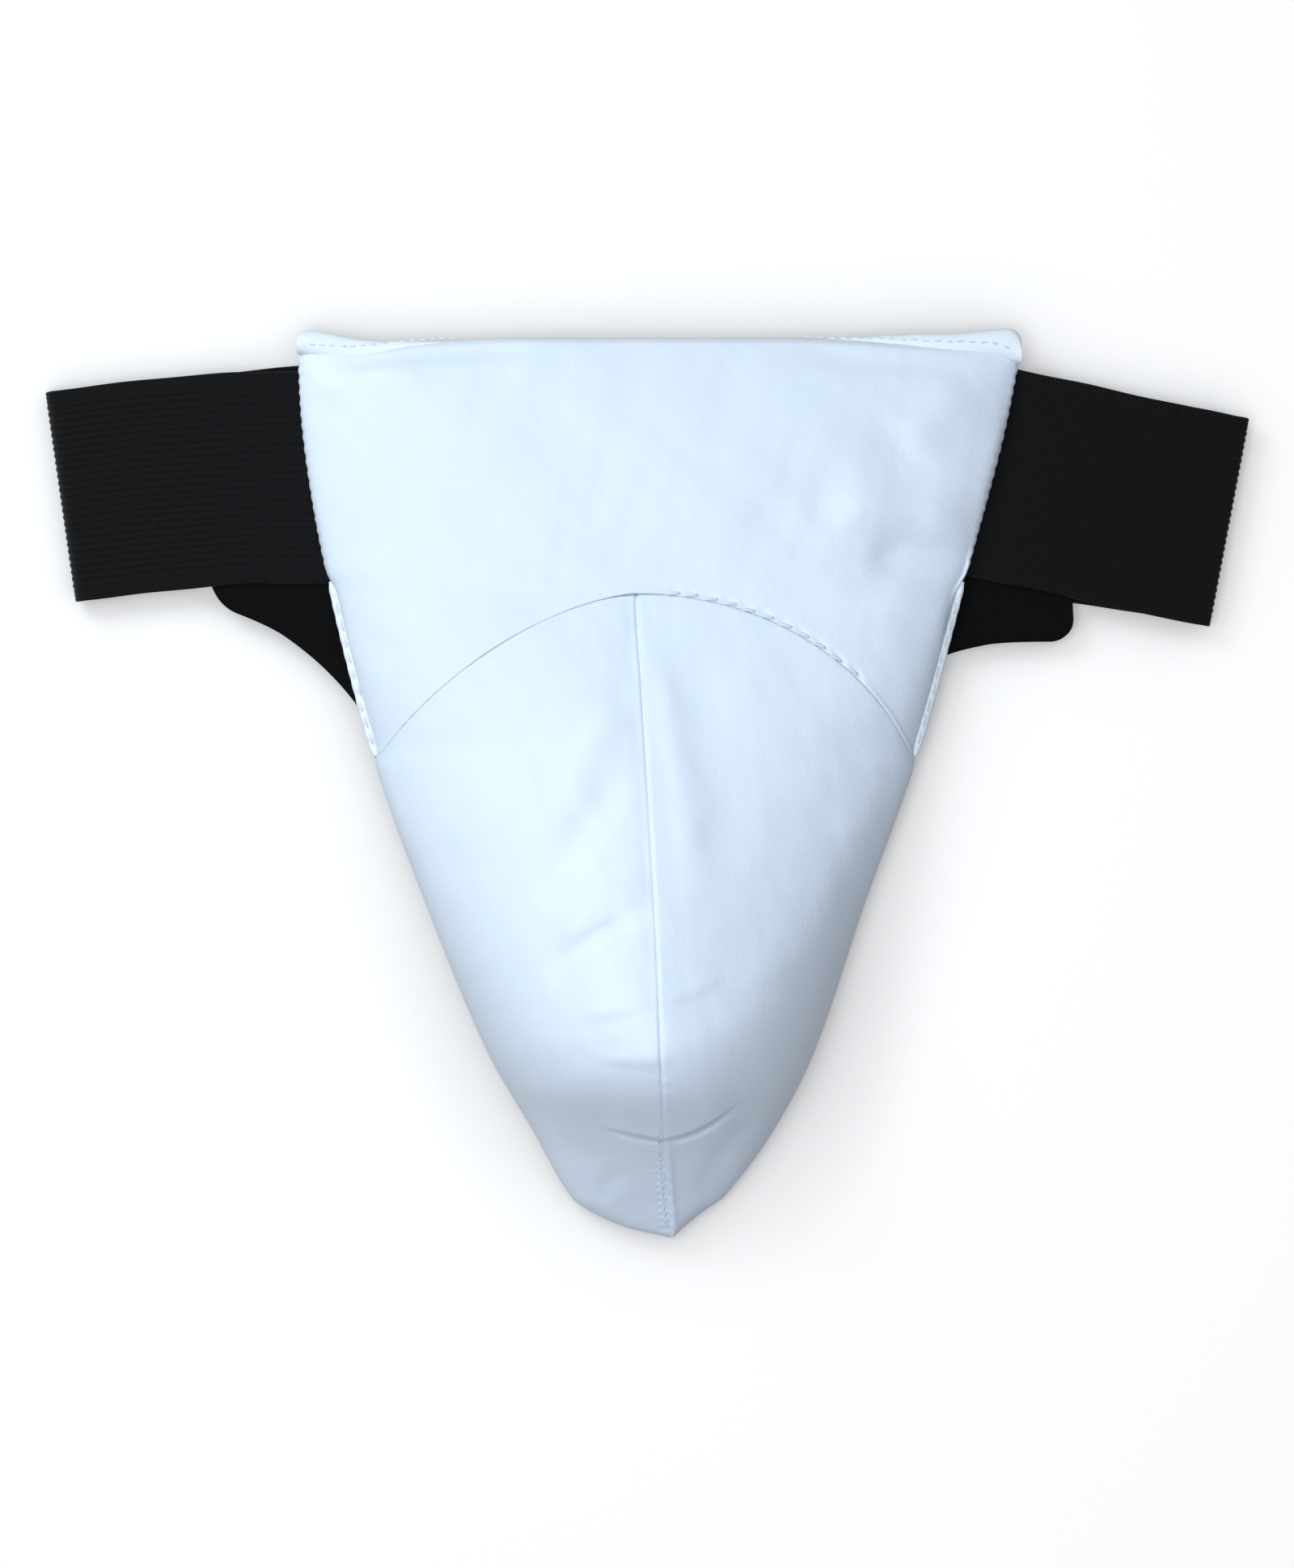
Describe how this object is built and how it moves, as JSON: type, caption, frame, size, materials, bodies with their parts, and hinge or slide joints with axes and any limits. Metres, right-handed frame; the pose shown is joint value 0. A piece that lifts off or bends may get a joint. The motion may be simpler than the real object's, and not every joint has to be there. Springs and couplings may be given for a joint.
{
  "type": "groin protector",
  "caption": "Padded groin protector: white leather-cloth shell over a hard cup, elastic waistband with hook and loop closure, leg straps.",
  "frame": {"origin": "on the ground under the middle of the whole object's box, as it lies on its back", "axes": "+X towards the wide right wing, +Y towards the waist edge, +Z out of the shell's front"},
  "size_m": [0.3469, 0.2606, 0.0576],
  "materials": {
    "leather": "soft satin coated cloth",
    "foam": "closed-cell foam",
    "cup": "moulded",
    "lining": "knitted lining",
    "strap": "smooth woven elastic",
    "elastic": "ribbed woven elastic",
    "hook": "moulded hooks on tape",
    "loop": "napped loop tape",
    "white_thread": "sewing thread",
    "black_thread": "sewing thread"
  },
  "bodies": {
    "root": {"front_yoke": "leather", "cup_cover_left": "leather", "cup_cover_right": "leather", "top_facing": "leather", "side_facing_left": "leather", "side_facing_right": "leather", "yoke_foam": "foam", "cup_foam": "foam", "hard_cup": "cup", "cup_rim_cushion": "lining", "cup_lining": "lining", "back_panel": "lining", "strap_anchor_patch": "strap", "leg_strap_left": "strap", "leg_strap_right": "strap", "waistband_left_front": "elastic", "waistband_right_front": "elastic", "waistband_left_fold": "elastic", "waistband_right_fold": "elastic", "wing_bartack_left": "black_thread", "wing_bartack_right": "black_thread", "arch_stitching": "white_thread", "hem_stitching": "white_thread", "side_stitching_left": "white_thread", "side_stitching_right": "white_thread", "centre_stitching": "white_thread"},
    "left_rear": {"waistband_left_rear": "elastic", "hook_patch": "hook", "hook_stitching": "black_thread"},
    "right_rear": {"waistband_right_rear": "elastic", "loop_patch": "loop", "loop_stitching": "black_thread"}
  },
  "joints": [
    {"name": "waist_left_open", "type": "hinge", "parent": "root", "child": "left_rear", "pos_m": [-0.1654, 0.0831, 0.00375], "axis": [-0.1426, 0.9898, 0], "range_deg": [0, 180], "deforming": ["waistband_left_fold"]},
    {"name": "waist_right_open", "type": "hinge", "parent": "root", "child": "right_rear", "pos_m": [0.16573, 0.07573, 0.00545], "axis": [-0.1865, -0.9825, 0], "range_deg": [0, 180], "deforming": ["waistband_right_fold"]}
  ],
  "couplings": [
    {"joint": "waist_right_open", "follows": "waist_left_open", "ratio": 1}
  ]
}
